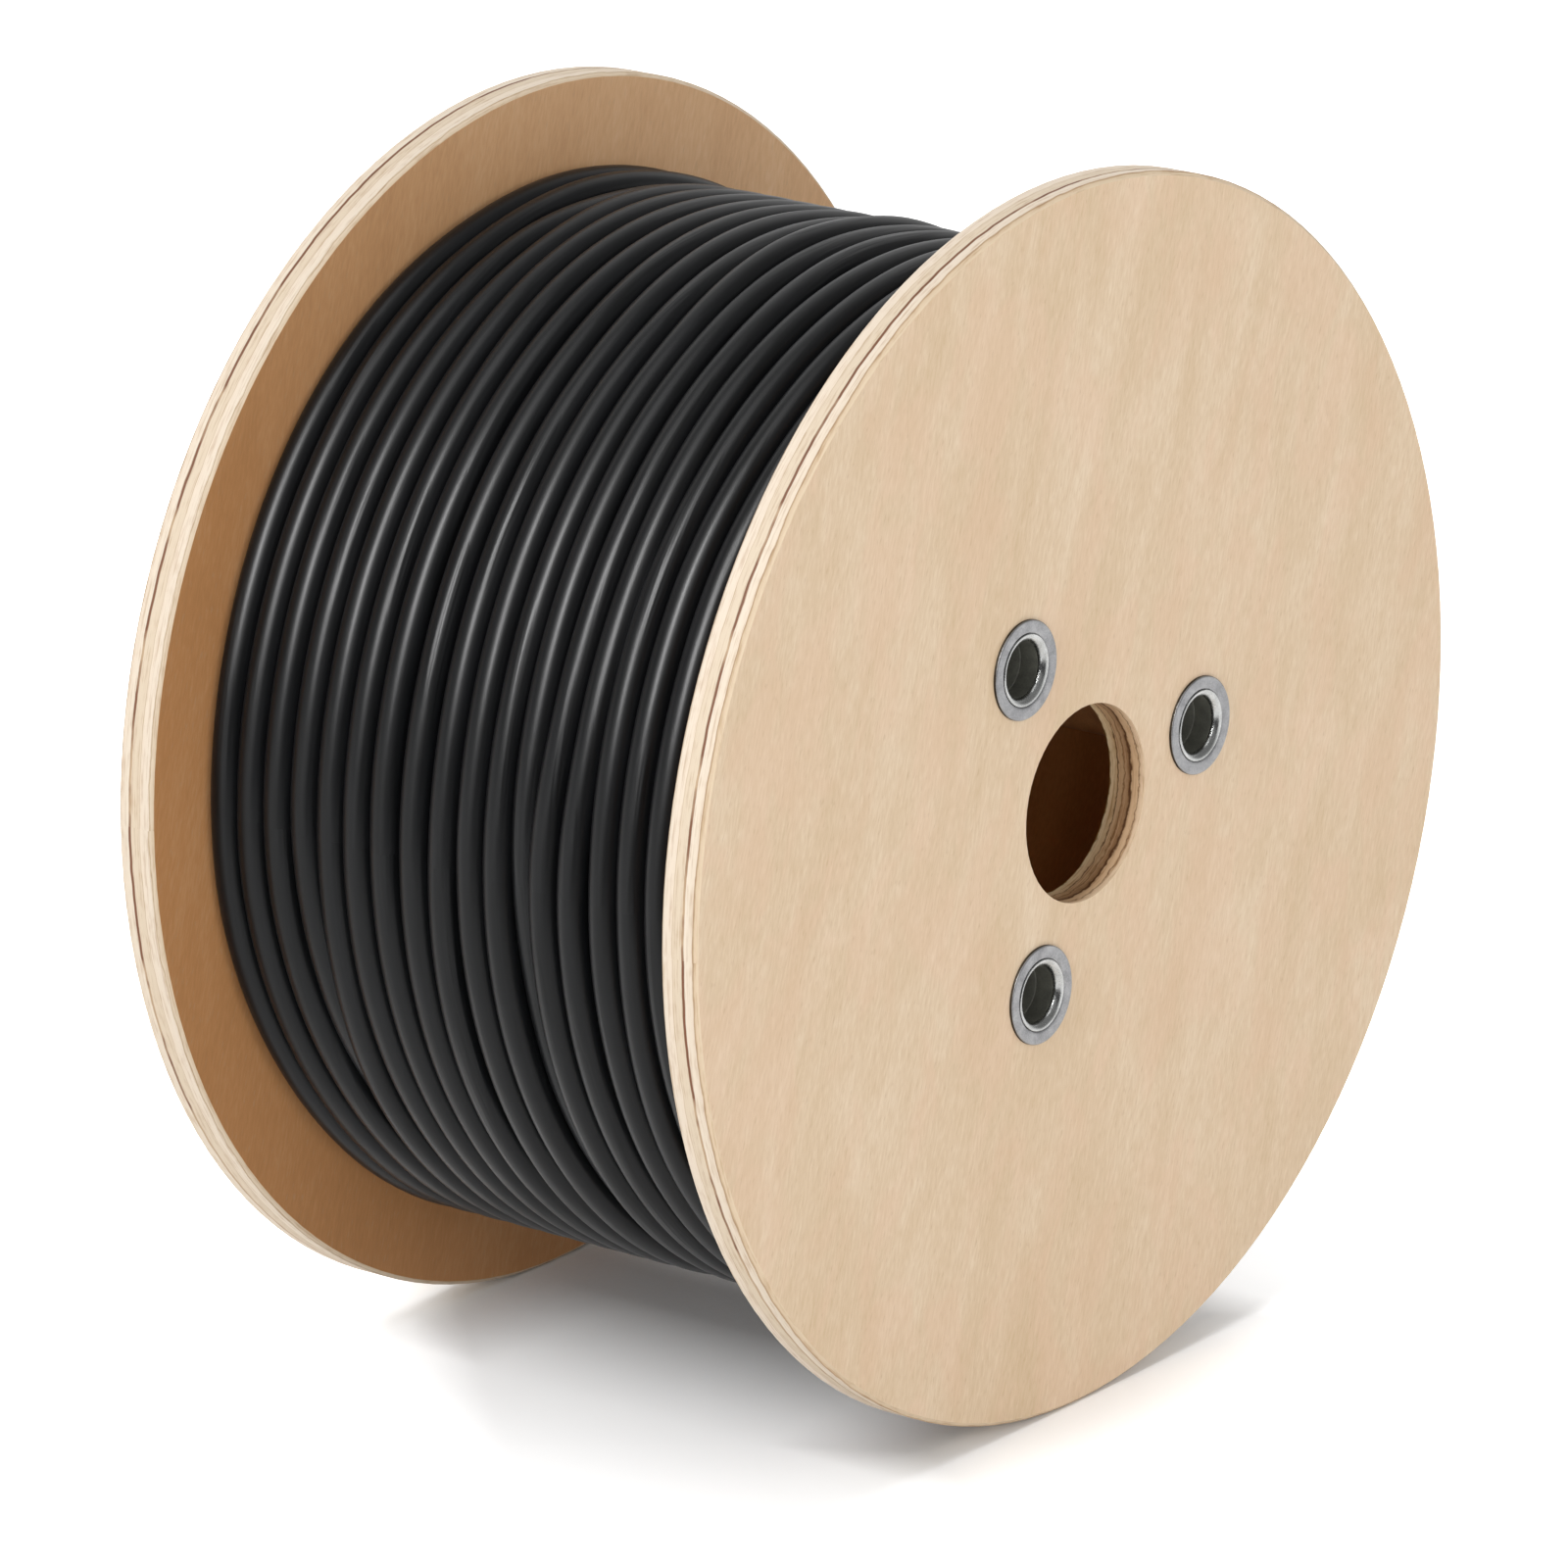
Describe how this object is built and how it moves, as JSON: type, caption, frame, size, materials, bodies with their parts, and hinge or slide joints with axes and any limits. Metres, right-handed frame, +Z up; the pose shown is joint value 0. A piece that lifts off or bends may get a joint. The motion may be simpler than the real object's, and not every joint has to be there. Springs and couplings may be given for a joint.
{
  "type": "wooden cable drum",
  "caption": "Plywood cable drum standing on its flange rims, wound full with black cable, with a round arbor hole and belled steel tie tubes.",
  "frame": {"origin": "centre of the arbor hole, midway between the two flanges", "axes": "+Y along the drum's axis from the front flange to the back flange, +Z up, +X to the right of someone facing the front flange"},
  "size_m": [0.35, 0.201, 0.35],
  "materials": {
    "plywood": "bare sanded veneer",
    "barrel_board": "brown wound board",
    "zinc_steel": "dull zinc plate",
    "cable_sheath": "satin black sheath"
  },
  "bodies": {
    "root": {"flange_front": "plywood", "flange_back": "plywood", "barrel": "barrel_board", "tie_tube_1": "zinc_steel", "tie_tube_2": "zinc_steel", "tie_tube_3": "zinc_steel", "washer_front_1": "zinc_steel", "washer_front_2": "zinc_steel", "washer_front_3": "zinc_steel", "washer_back_1": "zinc_steel", "washer_back_2": "zinc_steel", "washer_back_3": "zinc_steel", "cable_winding": "cable_sheath"}
  },
  "joints": []
}
